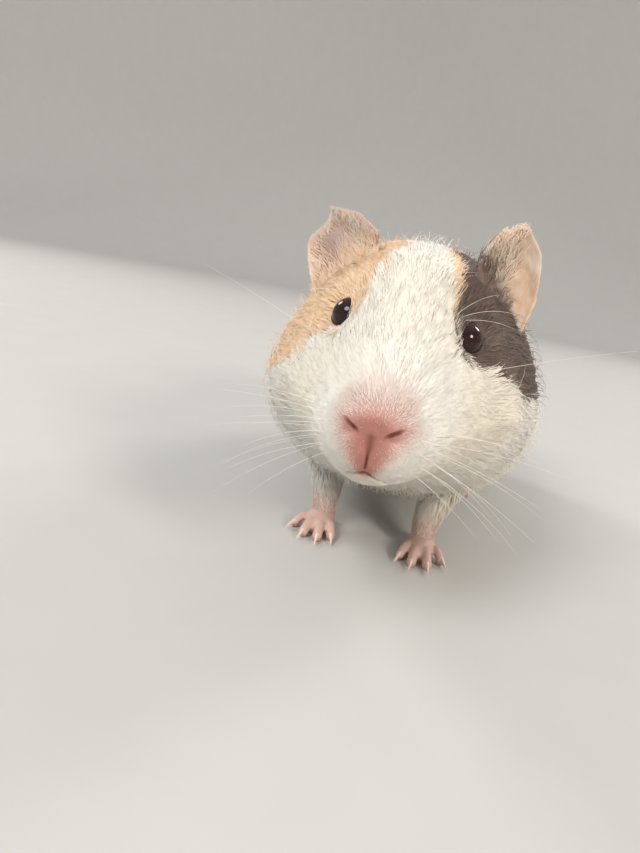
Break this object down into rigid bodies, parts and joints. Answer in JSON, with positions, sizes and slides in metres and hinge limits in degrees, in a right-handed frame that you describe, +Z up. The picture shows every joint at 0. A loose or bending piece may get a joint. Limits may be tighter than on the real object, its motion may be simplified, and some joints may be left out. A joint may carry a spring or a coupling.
{
  "type": "guinea pig",
  "caption": "Still, life-size young short-haired guinea pig standing on its four feet with its head up, white with tan and slate patches.",
  "frame": {"origin": "on the floor, under the middle of the body", "axes": "-Y towards the nose, +X towards the animal's left side, +Z up"},
  "size_m": [0.0958, 0.2223, 0.1058],
  "materials": {
    "white_coat": "short silky fur, white to cream",
    "tan_ear": "thin bare tan skin with fine hairs",
    "pink_skin": "bare pink skin",
    "dark_eye": "wet glossy brown-black",
    "claw": "translucent pale horn"
  },
  "bodies": {
    "root": {"claw_fore_left_1": "claw", "claw_fore_left_2": "claw", "claw_fore_left_3": "claw", "claw_fore_left_4": "claw", "claw_fore_right_1": "claw", "claw_fore_right_2": "claw", "claw_fore_right_3": "claw", "claw_fore_right_4": "claw", "claw_hind_left_1": "claw", "claw_hind_left_2": "claw", "claw_hind_left_3": "claw", "claw_hind_right_1": "claw", "claw_hind_right_2": "claw", "claw_hind_right_3": "claw", "ear_left": "tan_ear", "ear_right": "tan_ear", "eye_left": "dark_eye", "eye_right": "dark_eye", "forefoot_left": "pink_skin", "forefoot_right": "pink_skin", "foreleg_left": "white_coat", "foreleg_right": "white_coat", "head": "white_coat", "hindfoot_left": "pink_skin", "hindfoot_right": "pink_skin", "hindleg_left": "white_coat", "hindleg_right": "white_coat", "muzzle": "white_coat", "neck": "white_coat", "trunk": "white_coat"}
  },
  "joints": []
}
